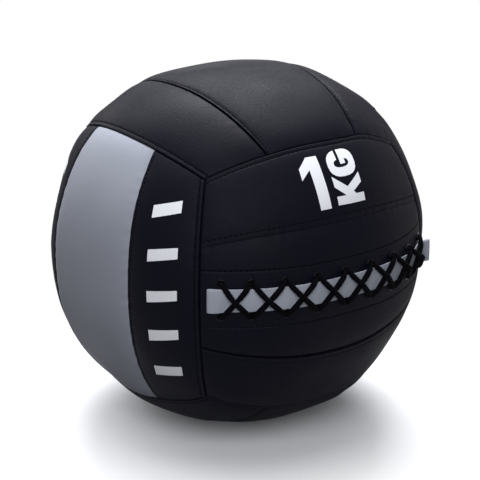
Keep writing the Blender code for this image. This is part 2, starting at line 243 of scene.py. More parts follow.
def seamKey(face, side, share):
    # a seam within a face has gathers of its own
    if abs(share) == 1:
        return edgeKey(face, side)
    return int(100 + 1000 * abs(share) + 7 * len(face) + (share > 0))


def puckers(strip, turn, climb, toLow, toHigh, toEnd):
    face = strip["face"]
    along, across = list(axesOf(face))[1:]
    way = wayOn(face, turn, climb)
    run = ball["half"] * (way @ np.abs(along))
    span = ball["half"] * (way @ np.abs(across))
    total = 0
    for side, distance in (("low", toLow), ("high", toHigh)):
        if strip[side] is not None:
            gathered = gathers(run, seamKey(face, side, strip[side]))
            total = total + gathered * np.exp(-(distance / seam["puckerReach"]) ** 2)
    key = np.where(turn > 0, edgeKey(face, "end"), edgeKey(face, "start"))
    for side in ("start", "end"):
        here = np.exp(-(toEnd / seam["puckerReach"]) ** 2) * (key == edgeKey(face, side))
        total = total + gathers(span, edgeKey(face, side)) * here
    return total * seam["puckerHeight"]


def edgeDistances(strip, turn, climb):
    half = ball["half"]
    far = np.full(np.broadcast(turn, climb).shape, 1.0)
    toLow = far if strip["low"] is None else (climb - seamClimb(strip["low"], turn)) * half
    toHigh = far if strip["high"] is None else (seamClimb(strip["high"], turn) - climb) * half
    toEnd = (quarter - np.abs(turn)) * half * np.cos(climb)
    return toLow, toHigh, toEnd


def coverLift(strip, turn, climb):
    toLow, toHigh, toEnd = edgeDistances(strip, turn, climb)
    lift = -seam["depth"] * (1 - crown(toLow) * crown(toHigh) * crown(toEnd))
    fade = softStep(toEnd, *seam["fade"])
    dip = tuckedEdge(toEnd, "creased")
    for distance, style in ((toLow, strip["lowFold"]), (toHigh, strip["highFold"])):
        if style in seamStyles:
            bead, cuts = foldedEdge(distance, style)
            lift = lift + bead * (seam["fadedShare"] + (1 - seam["fadedShare"]) * fade) + cuts
        else:
            dip = np.minimum(dip, tuckedEdge(distance, style))
            lift = lift + seam["tuckSlope"] * np.minimum(distance, 0)
    lift = lift + dip + seam["tuckSlope"] * np.minimum(toEnd, 0)
    return lift + puckers(strip, turn, climb, toLow, toHigh, toEnd)


wall = {
    "least": 1.0 * mm,
    "depth": 3.0 * mm,
    "edge": 0.12 * mm,  # at a fold, thicker again within the first reach
    "edgeReach": 1 * mm,
    "thicken": (3.5 * mm, 7 * mm),
}


def coverInside(strip, turn, climb, outside):
    toLow, toHigh = edgeDistances(strip, turn, climb)[:2]
    inside = np.minimum(outside - wall["least"], -wall["depth"])
    for distance, style in ((toLow, strip["lowFold"]), (toHigh, strip["highFold"])):
        if style in seamStyles:
            thin = outside - wall["edge"] - wall["least"] * softStep(distance, 0, wall["edgeReach"])
            inside = inside + (thin - inside) * (1 - softStep(distance, *wall["thicken"]))
    return inside


# Rows and columns of points, closer together near the seams
sheetRows = {
    "folded": np.array((0, 0.06, 0.16, 0.32, 0.55, 0.9, 1.4, 2, 2.6, 3.15, 3.6, 3.95, 4.3, 4.65, 5.1)) * mm,
    "beyond": np.array((5.8, 7, 8.8, 11)) * mm,
    "tucked": np.array((-3, -1.5, -0.5, 0, 0.25, 0.5, 0.8, 1.1, 1.5, 2.1, 2.9, 4.2, 6, 8.2, 11)) * mm,
    "spacing": 2.3 * mm,
    "columnSpacing": 1.9 * mm,
}


# Modelling helpers
def deselectAll():
    if bpy.context.mode != "OBJECT":
        bpy.ops.object.mode_set(mode="OBJECT")
    bpy.ops.object.select_all(action="DESELECT")


def choose(piece):
    deselectAll()
    piece.select_set(True)
    bpy.context.view_layer.objects.active = piece


def named(name):
    piece = bpy.context.active_object
    piece.name = piece.data.name = name
    return piece


def readPoints(piece):
    points = np.empty(len(piece.data.vertices) * 3)
    piece.data.vertices.foreach_get("co", points)
    return points.reshape(-1, 3)


def writePoints(piece, points):
    piece.data.vertices.foreach_set("co", np.ascontiguousarray(points, float).ravel())
    piece.data.update()


def editMesh(piece, *steps):
    # each step is an operator of edit mode, used on the whole mesh
    choose(piece)
    bpy.ops.object.mode_set(mode="EDIT")
    bpy.ops.mesh.select_all(action="SELECT")
    for step in steps:
        step()
    bpy.ops.object.mode_set(mode="OBJECT")


def faceOutward(piece):
    editMesh(piece, lambda: bpy.ops.mesh.normals_make_consistent(inside=False))


def addModifier(piece, kind, **settings):
    modifier = piece.modifiers.new(kind.lower(), kind)
    for key, value in settings.items():
        setattr(modifier, key, value)


def applyModifiers(piece):
    choose(piece)
    for modifier in list(piece.modifiers):
        bpy.ops.object.modifier_apply(modifier=modifier.name)


def cutAway(piece, cutter):
    addModifier(piece, "BOOLEAN", operation="DIFFERENCE", object=cutter)
    applyModifiers(piece)
    bpy.data.objects.remove(cutter)


def joined(pieces):
    choose(pieces[0])
    for piece in pieces:
        piece.select_set(True)
    bpy.ops.object.join()
    return pieces[0]


def link(name, data):
    piece = bpy.data.objects.new(name, data)
    bpy.context.collection.objects.link(piece)
    return piece


def smooth(piece, degrees=50):
    choose(piece)
    bpy.ops.object.shade_smooth_by_angle(angle=math.radians(degrees))


def addGrid(name, columns, rows):
    deselectAll()
    bpy.ops.mesh.primitive_grid_add(x_subdivisions=columns - 1, y_subdivisions=rows - 1, size=1)
    return named(name)


def gridPlaces(piece, columns, rows):
    flat = readPoints(piece)[:, :2] + 0.5
    return np.rint(flat * (columns - 1, rows - 1)).astype(int).T


def thickSheet(name, outside, inside):
    # a flat grid, extruded once for its second side, then laid on its two surfaces
    columns, rows = outside.shape[:2]
    piece = addGrid(name, columns, rows)
    editMesh(piece, bpy.ops.mesh.extrude_region_move)
    column, row = gridPlaces(piece, columns, rows)
    isOutside = np.empty(len(column), bool)
    piece.data.vertices.foreach_get("select", isOutside)
    writePoints(piece, np.where(isOutside[:, None], outside[column, row], inside[column, row]))
    faceOutward(piece)
    smooth(piece)
    return piece


def finish(piece, nodes, material):
    piece.data.materials.clear()
    piece.data.materials.append(material)
    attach(piece, "root")
    if nodes:
        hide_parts(*nodes)


# Materials
grainLook = {
    "pebbleSize": 0.0018,
    "pebbleSoftness": 0.6,
    "pebbleHeight": -0.8,
    "creaseHeight": 0.5,
    "hatchTurns": 0.9,  # fine woven print on the coating, per pebble
    "hatchHeight": 0.035,
    "patches": 14,  # broad light and dark places, to the metre
    "lowHigh": (-0.35, 0.25),
    # painted shade in the grain's pits and creases, and a painted highlight on its raised tops
    "paintedPitShadeRange": (-0.2, 0.1),
    "pitPolish": (0.08, -0.02),
    "patchPolish": (-0.05, 0.05),
    "bumpDepth": 0.25 * mm,
    "turned": (0.5, 0.8),  # between these the surface turns away and its shine sinks to a share
    "turnedShine": 0.3,
}

weaveLook = {
    "crossing": (0.6, 0.4),  # how far a weft thread stands out over the warp, and what it rests on
    "fuzz": 60,
    "fuzzTone": (0.94, 1.05),
    "roughness": 0.8,
    "specular": 0.3,
    "bumpDepth": 0.2 * mm,
}

yarnLook = {"lightTone": 1.15, "specular": 0.04, "bump": 0.5, "bumpDepth": 0.15 * mm}
metalLook = {"smears": 900, "polish": (-0.07, 0.1)}
inkLook = {"specks": 700, "tone": (0.95, 1), "roughness": 0.55, "specular": 0.3, "bump": 0.15,
           "bumpDepth": 0.1 * mm}
noiseReach = (0.3, 0.7)  # where nearly all of a noise lies


def newMaterial(name):
    material = bpy.data.materials.new(name)
    material.use_nodes = True
    tree = material.node_tree
    return material, tree, tree.nodes["Principled BSDF"]


def feed(tree, node, inputs):
    # an input takes another node's output, or a fixed value
    for key, value in inputs.items():
        if isinstance(value, bpy.types.NodeSocket):
            tree.links.new(value, node.inputs[key])
        else:
            node.inputs[key].default_value = value
    return node


def addNode(tree, kind, inputs=None, **settings):
    node = tree.nodes.new(kind)
    for key, value in settings.items():
        setattr(node, key, value)
    return feed(tree, node, inputs or {})


def newGroup(name, takes, gives):
    group = bpy.data.node_groups.new(name, "ShaderNodeTree")
    for socketName, value in takes.items():
        kind = "NodeSocketColor" if isinstance(value, tuple) else "NodeSocketFloat"
        group.interface.new_socket(socketName, in_out="INPUT", socket_type=kind).default_value = value
    for socketName in gives:
        kind = "NodeSocketColor" if socketName == "Colour" else "NodeSocketFloat"
        group.interface.new_socket(socketName, in_out="OUTPUT", socket_type=kind)
    return group, addNode(group, "NodeGroupInput").outputs, addNode(group, "NodeGroupOutput")


def useGroup(tree, group, colour, **values):
    inputs = {"Colour": (*colour, 1), **values}
    return addNode(tree, "ShaderNodeGroup", inputs, node_tree=group).outputs


def mathNode(tree, operation, first, second=0.0):
    return addNode(tree, "ShaderNodeMath", {0: first, 1: second}, operation=operation).outputs[0]


def add(tree, first, second):
    return mathNode(tree, "ADD", first, second)


def multiply(tree, first, second):
    return mathNode(tree, "MULTIPLY", first, second)


def vectorNode(tree, operation, inputs):
    return addNode(tree, "ShaderNodeVectorMath", inputs, operation=operation).outputs


def scaled(tree, vector, scale):
    return vectorNode(tree, "SCALE", {0: vector, "Scale": scale})[0]


def rangeNode(tree, value, low, high, toLow=0.0, toHigh=1.0, **settings):
    inputs = {0: value, 1: low, 2: high, 3: toLow, 4: toHigh}
    return addNode(tree, "ShaderNodeMapRange", inputs, **settings).outputs[0]


def objectPlace(tree):
    return addNode(tree, "ShaderNodeTexCoord").outputs["Object"]


def noise(tree, where, scale, detail=4.0):
    inputs = {"Vector": where, "Scale": scale, "Detail": detail}
    return addNode(tree, "ShaderNodeTexNoise", inputs).outputs[0]


def leatherGrainGroup():
    look = grainLook
    # the pit shade strength sets how much painted shade and highlight follow the grain's height
    takes = {"Colour": (0.02, 0.02, 0.02, 1), "Mottle": 0.12, "Grain Size": look["pebbleSize"],
             "Roughness": 0.5, "Pores": 1.0}
    group, given, end = newGroup("leatherGrain", takes, ("Colour", "Roughness", "Height"))
    where = objectPlace(group)
    density = mathNode(group, "DIVIDE", 1.0, given["Grain Size"])
    pebbled = {"Vector": where, "Scale": density, "Smoothness": look["pebbleSoftness"]}
    pebble = addNode(group, "ShaderNodeTexVoronoi", pebbled, feature="SMOOTH_F1").outputs["Distance"]
    crease = noise(group, where, density, detail=3.0)
    patch = noise(group, where, look["patches"])
    height = add(group, multiply(group, pebble, look["pebbleHeight"]),
                 multiply(group, crease, look["creaseHeight"]))
    turned = scaled(group, where, multiply(group, density, 2 * math.pi * look["hatchTurns"]))
    waves = vectorNode(group, "SINE", {0: turned})[0]
    hatch = vectorNode(group, "DOT_PRODUCT", {0: waves, 1: (1, 1, 1)})["Value"]
    height = add(group, height, multiply(group, hatch, look["hatchHeight"]))
    dark, light = mathNode(group, "SUBTRACT", 1.0, given["Mottle"]), add(group, 1.0, given["Mottle"])
    toned = scaled(group, given["Colour"], rangeNode(group, patch, *noiseReach, dark, light))
    # painted shade and highlight: the colour is darker in the grain's pits and creases and lighter on its
    # raised tops
    paintedPitShade = rangeNode(group, height, *look["lowHigh"], *look["paintedPitShadeRange"])
    paintedPitShade = add(group, multiply(group, paintedPitShade, given["Pores"]), 1.0)
    polish = add(group, rangeNode(group, patch, *noiseReach, *look["patchPolish"]),
                 rangeNode(group, height, *look["lowHigh"], *look["pitPolish"]))
    feed(group, end, {"Colour": scaled(group, toned, paintedPitShade), "Height": height,
                      "Roughness": add(group, polish, given["Roughness"])})
    return group


def clothWeaveGroup():
    look = weaveLook
    # Contrast sets how much painted shade falls between the threads
    takes = {"Colour": (0.4, 0.4, 0.4, 1), "Across": 30.0, "Along": 300.0, "Contrast": 0.2}
    group, given, end = newGroup("clothWeave", takes, ("Colour", "Height"))
    laid = addNode(group, "ShaderNodeUVMap").outputs[0]
    parts = addNode(group, "ShaderNodeSeparateXYZ", {0: laid}).outputs
    warp = multiply(group, parts[1], given["Across"])
    weft = multiply(group, parts[0], given["Along"])

    def ridges(threads):
        return mathNode(group, "ABSOLUTE", mathNode(group, "SINE", multiply(group, threads, math.pi)))

    step = multiply(group, mathNode(group, "FLOOR", warp), 0.5)
    picks = multiply(group, ridges(add(group, weft, step)), look["crossing"][0])
    height = multiply(group, ridges(warp), add(group, picks, look["crossing"][1]))
    fuzz = noise(group, objectPlace(group), look["fuzz"], detail=5.0)
    low = mathNode(group, "SUBTRACT", 1.0, given["Contrast"])
    # painted shade: the colour is darker where the threads lie low between the raised ones, and the fuzz adds
    # a random tone
    tone = multiply(group, rangeNode(group, height, 0.0, 1.0, low, 1.0),
                    rangeNode(group, fuzz, *noiseReach, *look["fuzzTone"]))
    feed(group, end, {"Colour": scaled(group, given["Colour"], tone), "Height": height})
    return group


def spunYarnGroup():
    takes = {"Colour": (0.02, 0.02, 0.02, 1), "Fibres": 2500.0, "Contrast": 0.4}
    group, given, end = newGroup("spunYarn", takes, ("Colour", "Height"))
    fibre = noise(group, objectPlace(group), given["Fibres"])
    low = mathNode(group, "SUBTRACT", 1.0, given["Contrast"])
    tone = rangeNode(group, fibre, *noiseReach, low, yarnLook["lightTone"])
    feed(group, end, {"Colour": scaled(group, given["Colour"], tone), "Height": fibre})
    return group


leatherGrain, clothWeave, spunYarn = leatherGrainGroup(), clothWeaveGroup(), spunYarnGroup()


def dress(tree, shader, colour, roughness, specular, height, strength, depth):
    bump = addNode(tree, "ShaderNodeBump", {"Strength": strength, "Distance": depth, "Height": height})
    feed(tree, shader, {"Base Color": colour, "Roughness": roughness, "Specular IOR Level": specular,
                        "Normal": bump.outputs[0]})


def leatherMaterial(name, colour, roughness, mottle, specular, bump, pitShadeStrength):
    material, tree, shader = newMaterial(name)
    look = grainLook
    grain = useGroup(tree, leatherGrain, colour, Mottle=mottle, Roughness=roughness, Pores=pitShadeStrength)
    # matt coating: the shine doesn't grow as it would on a polished surface seen from the side
    shader.inputs["Specular IOR Level"].default_value = specular
    facing = addNode(tree, "ShaderNodeLayerWeight", {"Blend": 0.5}).outputs["Facing"]
    shine = rangeNode(tree, facing, *look["turned"], specular, specular * look["turnedShine"])
    dress(tree, shader, grain["Colour"], grain["Roughness"], shine, grain["Height"], bump, look["bumpDepth"])
    return material


def wovenMaterial(name, colour, across, along, contrast, bump):
    material, tree, shader = newMaterial(name)
    look = weaveLook
    weave = useGroup(tree, clothWeave, colour, Across=across, Along=along, Contrast=contrast)
    dress(tree, shader, weave["Colour"], look["roughness"], look["specular"], weave["Height"], bump,
          look["bumpDepth"])
    return material


def yarnMaterial(name, colour, fibres, contrast, roughness=0.8):
    material, tree, shader = newMaterial(name)
    look = yarnLook
    yarn = useGroup(tree, spunYarn, colour, Fibres=fibres, Contrast=contrast)
    dress(tree, shader, yarn["Colour"], roughness, look["specular"], yarn["Height"], look["bump"],
          look["bumpDepth"])
    return material


def metalMaterial(name, colour, roughness):
    material, tree, shader = newMaterial(name)
    smear = noise(tree, objectPlace(tree), metalLook["smears"])
    bright, dull = metalLook["polish"]
    polish = rangeNode(tree, smear, *noiseReach, roughness + bright, roughness + dull)
    feed(tree, shader, {"Base Color": (*colour, 1), "Metallic": 1, "Roughness": polish})
    return material


def inkMaterial(name, colour):
    material, tree, shader = newMaterial(name)
    look = inkLook
    speck = noise(tree, objectPlace(tree), look["specks"])
    toned = scaled(tree, colour, rangeNode(tree, speck, *noiseReach, *look["tone"]))
    dress(tree, shader, toned, look["roughness"], look["specular"], speck, look["bump"], look["bumpDepth"])
    return material


blackLeather = leatherMaterial("blackLeather", (0.0016, 0.0017, 0.005), roughness=0.5, mottle=0.1,
                               specular=0.055, bump=0.5, pitShadeStrength=0.8)
greyLeather = leatherMaterial("greyLeather", (0.245, 0.257, 0.297), roughness=0.5, mottle=0.02,
                              specular=0.09, bump=0.2, pitShadeStrength=0.15)
facingLeather = leatherMaterial("facingLeather", (0.015, 0.015, 0.017), roughness=0.7, mottle=0.15,
                                specular=0.2, bump=0.4, pitShadeStrength=1.0)
bandWebbing = wovenMaterial("bandWebbing", (0.31, 0.33, 0.38), across=22, along=190, contrast=0.1, bump=0.35)
bagCloth = wovenMaterial("bagCloth", (0.66, 0.66, 0.63), across=400, along=400, contrast=0.2, bump=0.3)
laceCord = yarnMaterial("laceCord", (0.0012, 0.0012, 0.0022), fibres=2500, contrast=0.3, roughness=0.9)
blackThread = yarnMaterial("blackThread", (0.001, 0.001, 0.002), fibres=3500, contrast=0.3, roughness=0.9)
softFoam = yarnMaterial("softFoam", (0.7, 0.68, 0.62), fibres=900, contrast=0.25)
looseFibre = yarnMaterial("looseFibre", (0.78, 0.77, 0.74), fibres=350, contrast=0.3, roughness=0.95)
eyeletMetal = metalMaterial("eyeletMetal", (0.009, 0.009, 0.01), roughness=0.22)
whiteInk = inkMaterial("whiteInk", (0.7, 0.71, 0.74))
print("materials made")


# Leather cover: each strip lies between two shares of its face, whose edges are -1 and 1, and each of its
# long edges is folded or tucked in one of the styles
def strip(face, low, high, lowFold, highFold):
    return {"face": face, "low": low, "high": high, "lowFold": lowFold, "highFold": highFold}


strips = {
    "left_panel_rear": strip("left", -1, -0.4, "edge", "narrow"),
    "left_panel_centre": strip("left", -0.4, 0.4, "shallow", "shallow"),
    "left_panel_front": strip("left", 0.4, 1, "narrow", "edge"),
    "right_panel_rear": strip("right", -1, -0.4, "edge", "narrow"),
    "right_panel_centre": strip("right", -0.4, 0.4, "shallow", "shallow"),
    "right_panel_front": strip("right", 0.4, 1, "narrow", "edge"),
    "top_panel_left": strip("top", -1, -0.4, "edge", "deep"),
    "top_panel_centre": strip("top", -0.4, 0.4, "close", "open"),
    "top_panel_right": strip("top", 0.4, 1, "close", "edge"),
    "bottom_panel_left": strip("bottom", -1, -0.4, "edge", "close"),
    "bottom_panel_centre": strip("bottom", -0.4, 0.4, "deep", "deep"),
    "bottom_panel_right": strip("bottom", 0.4, 1, "close", "edge"),
    "back_panel_lower": strip("back", -1, -0.4, "edge", "close"),
    "back_panel_centre": strip("back", -0.4, 0.4, "deep", "deep"),
    "back_panel_upper": strip("back", 0.4, 1, "close", "edge"),
    "front_panel_lower": strip("front", -1, -0.375, "edge", "full"),
    "front_panel_upper": strip("front", 0.4, 1, "flat", "edge"),
}
greyStrips = ("left_panel_centre", "right_panel_centre")


def columnTurns():
    ends = sheetRows["tucked"] / ball["half"]
    length = quarter - ends[-1]
    count = round(2 * length * ball["half"] / sheetRows["columnSpacing"])
    middle = np.linspace(-length, length, count + 1)[1:-1]
    return np.concatenate((-quarter + ends, middle, (quarter - ends)[::-1]))


def rowsNear(style):
    if style in tuckStyles:
        return sheetRows["tucked"] / ball["half"]
    close = sheetRows["folded"] * seamStyles[style]["groove"] / seamStyles["edge"]["groove"]
    return np.concatenate((close, sheetRows["beyond"])) / ball["half"]


def stripGrid(piece):
    turns = columnTurns()[:, None]
    half = ball["half"]
    low, high = seamClimb(piece["low"], turns), seamClimb(piece["high"], turns)
    nearLow, nearHigh = rowsNear(piece["lowFold"]), rowsNear(piece["highFold"])[::-1]
    start, stop = low + nearLow[-1], high - nearHigh[0]
    count = round(float((stop - start).max()) * half / sheetRows["spacing"])
    shares = np.linspace(0, 1, count + 1)[1:-1]
    climbs = np.concatenate((low + nearLow, start + (stop - start) * shares, high - nearHigh), axis=1)
    return np.broadcast_to(turns, climbs.shape), climbs


def layLeather(node, face, turns, climbs, outside, inside):
    layers = (place(face, turns, climbs, lift) for lift in (outside, inside))
    return thickSheet(node + "_leather", *layers)


def finishLeather(sheet, node, material=blackLeather):
    finish(sheet, [node], material)


def addPanel(name, piece):
    turns, climbs = stripGrid(piece)
    outside = coverLift(piece, turns, climbs)
    inside = coverInside(piece, turns, climbs, outside)
    sheet = layLeather(name, piece["face"], turns, climbs, outside, inside)
    if name in greyStrips:
        finishLeather(sheet, name, greyLeather)
    else:
        finishLeather(sheet, name)


for name, piece in strips.items():
    addPanel(name, piece)
print("cover panels made")


# Laced flaps of the front face
lacing = {
    "height": 3.5 * mm,  # of the row's middle over the ball's middle
    "slotWidth": 8 * mm,
    "slotReach": math.radians(42.4),
    "pairs": 9,
    "pitch": math.radians(10),
    "firstPairShift": math.radians(1.3),  # the pair at the left end sits nearer its neighbour
    "eyeletOffset": 15.25 * mm,
    "eyeletReach": 1.5 * mm,  # how far round its middle an eyelet takes its slant from the flap
}

flapForm = {
    "stitchHeights": {1: 30 * mm, -1: -23.4 * mm},
    "stitchDip": 0.75 * mm,
    "stitchDipWidth": 0.75 * mm,
    "levelReach": 34 * mm,  # rows lie level up to here, then turn with the seam
    "rollDepth": 0.8 * mm,
    "rollWidth": 0.5 * mm,
    "rollReach": 1 * mm,
    "rowSpacing": 1.7 * mm,
    "rowGaps": (3 * mm, 1 * mm, 2 * mm),  # between the rows and the slot, the last row and the stitches
    "slotRows": (0, 0.3, 0.8, 1.5),  # in mm from the slot
    "stitchRows": (-1.6, -0.9, -0.45, 0, 0.45, 0.9, 1.6),  # in mm from the stitches
    "seamRows": 9,
    "holeRadius": 3.3 * mm,
    "holeDepth": 14 * mm,
    "holeSides": 24,
}

# The upper side of the lacing is 1, the lower one -1
sideNames = {1: "upper", -1: "lower"}
flapStrips = {
    1: strip("front", None, 0.4, "shallow", "shallow"),
    -1: strip("front", -0.375, None, "open", "shallow"),
}


levelRounds = 5


def levelClimb(height, turn):
    # how far up the front lies at a height; each round comes closer to it
    climb = np.zeros(np.broadcast(height, turn).shape)
    for _ in range(levelRounds):
        climb = np.arcsin(height / fullRadius(wayOn("front", turn, climb)))
    return climb


def slotHeight(side, turn):
    opening = lacing["slotWidth"] * (1 - (turn / lacing["slotReach"]) ** 2)
    return lacing["height"] + side * np.maximum(opening, 0) / 2


def heightOn(turn, climb):
    return fullRadius(wayOn("front", turn, climb)) * np.sin(climb)


def flapLift(side, turn, climb):
    lift = coverLift(flapStrips[side], turn, climb)
    height = heightOn(turn, climb)
    line = flapForm["stitchHeights"][side]
    lift = lift - flapForm["stitchDip"] * hump(height, line, flapForm["stitchDipWidth"])
    fromSlot = side * (height - slotHeight(side, turn))
    opened = softStep(side * (slotHeight(side, turn) - lacing["height"]), 0, flapForm["rollReach"])
    return lift - flapForm["rollDepth"] * hump(fromSlot, 0, flapForm["rollWidth"]) * opened


def flapGrid(side):
    turns = columnTurns()[:, None]
    piece, middle = flapStrips[side], lacing["height"]
    reach, line = flapForm["levelReach"], flapForm["stitchHeights"][side]
    nearSlot = slotHeight(side, turns) + side * np.array(flapForm["slotRows"]) * mm
    fromSlot, fromLast, fromStitches = flapForm["rowGaps"]
    levels = np.arange(lacing["slotWidth"] / 2 + fromSlot, reach - fromLast, flapForm["rowSpacing"])
    levels = middle + side * levels
    levels = levels[np.abs(levels - line) > fromStitches]
    levels = np.concatenate((levels, line + np.array(flapForm["stitchRows"]) * mm, [middle + side * reach]))
    levels = np.sort(levels * side) * side
    heights = np.concatenate((nearSlot, np.broadcast_to(levels, (len(turns), len(levels)))), axis=1)
    climbs = levelClimb(heights, turns)
    # from the last level row the rows turn with the seam
    near = sheetRows["tucked"][::-1] / ball["half"]
    edge = seamClimb(piece["high"] if side > 0 else piece["low"], turns)
    start, stop = climbs[:, -1:], edge - side * near[:1]
    shares = np.linspace(0, 1, flapForm["seamRows"])[1:-1]
    climbs = np.concatenate((climbs, start + (stop - start) * shares, edge - side * near), axis=1)
    return np.broadcast_to(turns, climbs.shape), climbs


def eyeletTurn(number):
    shift = lacing["firstPairShift"] if number == 0 else 0
    return (number - (lacing["pairs"] - 1) / 2) * lacing["pitch"] + shift


def eyeletFrame(number, side):
    turn, reach = eyeletTurn(number), lacing["eyeletReach"]

    def spot(moveAlong, moveUp):
        turned = np.array([turn + moveAlong / ball["half"]])
        height = lacing["height"] + side * lacing["eyeletOffset"] + moveUp
        climb = levelClimb(height, turned)
        return Vector(place("front", turned, climb, flapLift(side, turned, climb))[0])

    along = (spot(reach, 0) - spot(-reach, 0)).normalized()
    outward = along.cross(spot(0, reach) - spot(0, -reach)).normalized()
    turned = Matrix((along, outward.cross(along), outward)).transposed().to_4x4()
    turned.translation = spot(0, 0)
    return turned


def punchHoles(sheet, side):
    cutters = []
    for number in range(lacing["pairs"]):
        deselectAll()
        bpy.ops.mesh.primitive_cylinder_add(vertices=flapForm["holeSides"], radius=flapForm["holeRadius"],
                                            depth=flapForm["holeDepth"])
        cutter = named("eyeletPunch")
        cutter.data.transform(eyeletFrame(number, side))
        cutters.append(cutter)
    cutAway(sheet, joined(cutters))
    smooth(sheet)


def addFlap(side):
    name = "front_flap_" + sideNames[side]
    turns, climbs = flapGrid(side)
    outside = flapLift(side, turns, climbs)
    inside = np.minimum(outside - wall["least"], -wall["depth"])
    sheet = layLeather(name, "front", turns, climbs, outside, inside)
    punchHoles(sheet, side)
    finishLeather(sheet, name)


for side in sideNames:
    addFlap(side)
print("laced flaps made")


# Stitching
thread = {
    "length": 3.0 * mm,
    "thickness": 1.0 * mm,
    "sides": 6,
    "rings": 4,
    "margin": 3.5 * mm,  # from the ends of a strip
    "linePoints": 90,
}


def threadTurns():
    kept = 1 - thread["margin"] / ball["half"] / quarter
    return np.linspace(-quarter, quarter, thread["linePoints"]) * kept


def threadLine(turns, climbs, lift, style):
    lift = lift + thread["thickness"] / 2 - style["sink"] * mm
    return turns, climbs, lift, style["pitch"] * mm


def seamStitchLine(piece, side):
    turns = threadTurns()
    style = seamStyles[piece[side + "Fold"]]
    away = style["groove"] * mm / ball["half"] * (1 if side == "low" else -1)
    climbs = seamClimb(piece[side], turns) + away
    return threadLine(turns, climbs, coverLift(piece, turns, climbs), style)


def flapStitchLine(side):
    turns = threadTurns()
    climbs = levelClimb(np.full(turns.shape, flapForm["stitchHeights"][side]), turns)
    return threadLine(turns, climbs, flapLift(side, turns, climbs), seamStyles["flat"])


def modelStitch():
    deselectAll()
    bpy.ops.mesh.primitive_uv_sphere_add(segments=thread["sides"], ring_count=thread["rings"], radius=0.5)
    stitch = named("stitch")
    size = (thread["thickness"], thread["thickness"], thread["length"])
    editMesh(stitch, lambda: bpy.ops.transform.resize(value=size),
             lambda: bpy.ops.transform.rotate(value=math.pi / 2, orient_axis="Y", center_override=(0, 0, 0)))
    return stitch


def sewLine(points, pitch):
    stitch = modelStitch()
    curve = bpy.data.curves.new("stitchLine", "CURVE")
    curve.dimensions = "3D"
    spline = curve.splines.new("POLY")
    spline.points.add(len(points) - 1)
    spline.points.foreach_set("co", np.column_stack((points, np.ones(len(points)))).ravel())
    line = link("stitchLine", curve)
    addModifier(stitch, "ARRAY", fit_type="FIT_CURVE", curve=line, use_relative_offset=False,
                use_constant_offset=True, constant_offset_displace=(pitch, 0, 0))
    addModifier(stitch, "CURVE", object=line, deform_axis="POS_X")
    applyModifiers(stitch)
    bpy.data.objects.remove(line)
    return stitch


def addStitching(face):
    lines = [seamStitchLine(piece, side) for piece in strips.values() if piece["face"] == face
             for side in ("low", "high") if piece[side + "Fold"] in seamStyles]
    if face == "front":
        lines += [flapStitchLine(side) for side in sideNames]
    rows = [sewLine(place(face, turns, climbs, lift), pitch) for turns, climbs, lift, pitch in lines]
    joined(rows)
    piece = named("stitching_" + face)
    smooth(piece, 80)
    finish(piece, [], blackThread)


for face in faceAxes:
    addStitching(face)
print("stitching made")


# Eyelets
eyelet = {
    "bore": 2.9 * mm,
    "wall": 0.35 * mm,
    "flange": 4.2 * mm,
    "rise": 0.9 * mm,
    "foot": 0.1 * mm,
    "lip": (0.25 * mm, 0.05 * mm),  # inwards and upwards from the flange's edge
    "backDepth": 4.6 * mm,
    "backFlange": 3.9 * mm,
    "backThickness": 0.4 * mm,
    "rollSteps": 8,
    "sides": 28,
}


def eyeletProfile():
    bore, flange, foot = eyelet["bore"], eyelet["flange"], eyelet["foot"]
    rolled = []
    middle, half = (bore + flange) / 2, (flange - bore) / 2
    for step in range(eyelet["rollSteps"] + 1):
        angle = math.pi * (1 - step / eyelet["rollSteps"])
        rolled.append((middle + half * math.cos(angle), foot + (eyelet["rise"] - foot) * math.sin(angle)))
    barrel, back, depth = bore + eyelet["wall"], eyelet["backFlange"], -eyelet["backDepth"]
    inwards, upwards = eyelet["lip"]
    end = depth - eyelet["backThickness"]
    return rolled + [(flange - inwards, upwards), (barrel, foot), (barrel, depth), (back, depth), (back, end),
                     (bore, end)]


def modelEyelet():
    profile, sides = eyeletProfile(), eyelet["sides"]
    deselectAll()
    bpy.ops.mesh.primitive_circle_add(vertices=sides, radius=profile[0][0], location=(0, 0, 0))
    piece = named("eyeletModel")

    def raiseProfile():
        bpy.ops.transform.translate(value=(0, 0, profile[0][1]))
        for (radius, height), (nextRadius, nextHeight) in zip(profile, profile[1:]):
            grow = nextRadius / radius
            rise = (0, 0, nextHeight - height)
            bpy.ops.mesh.extrude_region_move(TRANSFORM_OT_translate={"value": rise})
            bpy.ops.transform.resize(value=(grow, grow, 1), center_override=(0, 0, nextHeight))

    editMesh(piece, raiseProfile)
    # its first and last rings are bridged, which closes the profile
    last = len(piece.data.vertices) - sides
    for edge in piece.data.edges:
        edge.select = max(edge.vertices) < sides or min(edge.vertices) >= last
    for vertex in piece.data.vertices:
        vertex.select = vertex.index < sides or vertex.index >= last
    bpy.ops.object.mode_set(mode="EDIT")
    bpy.ops.mesh.bridge_edge_loops()
    bpy.ops.object.mode_set(mode="OBJECT")
    faceOutward(piece)
    return piece


model = modelEyelet()
for side, word in sideNames.items():
    for number in range(lacing["pairs"]):
        node = f"eyelet_{word}_{number + 1}"
        ring = link(node + "_ring", model.data.copy())
        ring.data.transform(eyeletFrame(number, side))
        smooth(ring, 40)
        finish(ring, [node], eyeletMetal)
bpy.data.objects.remove(model)
print("eyelets made")


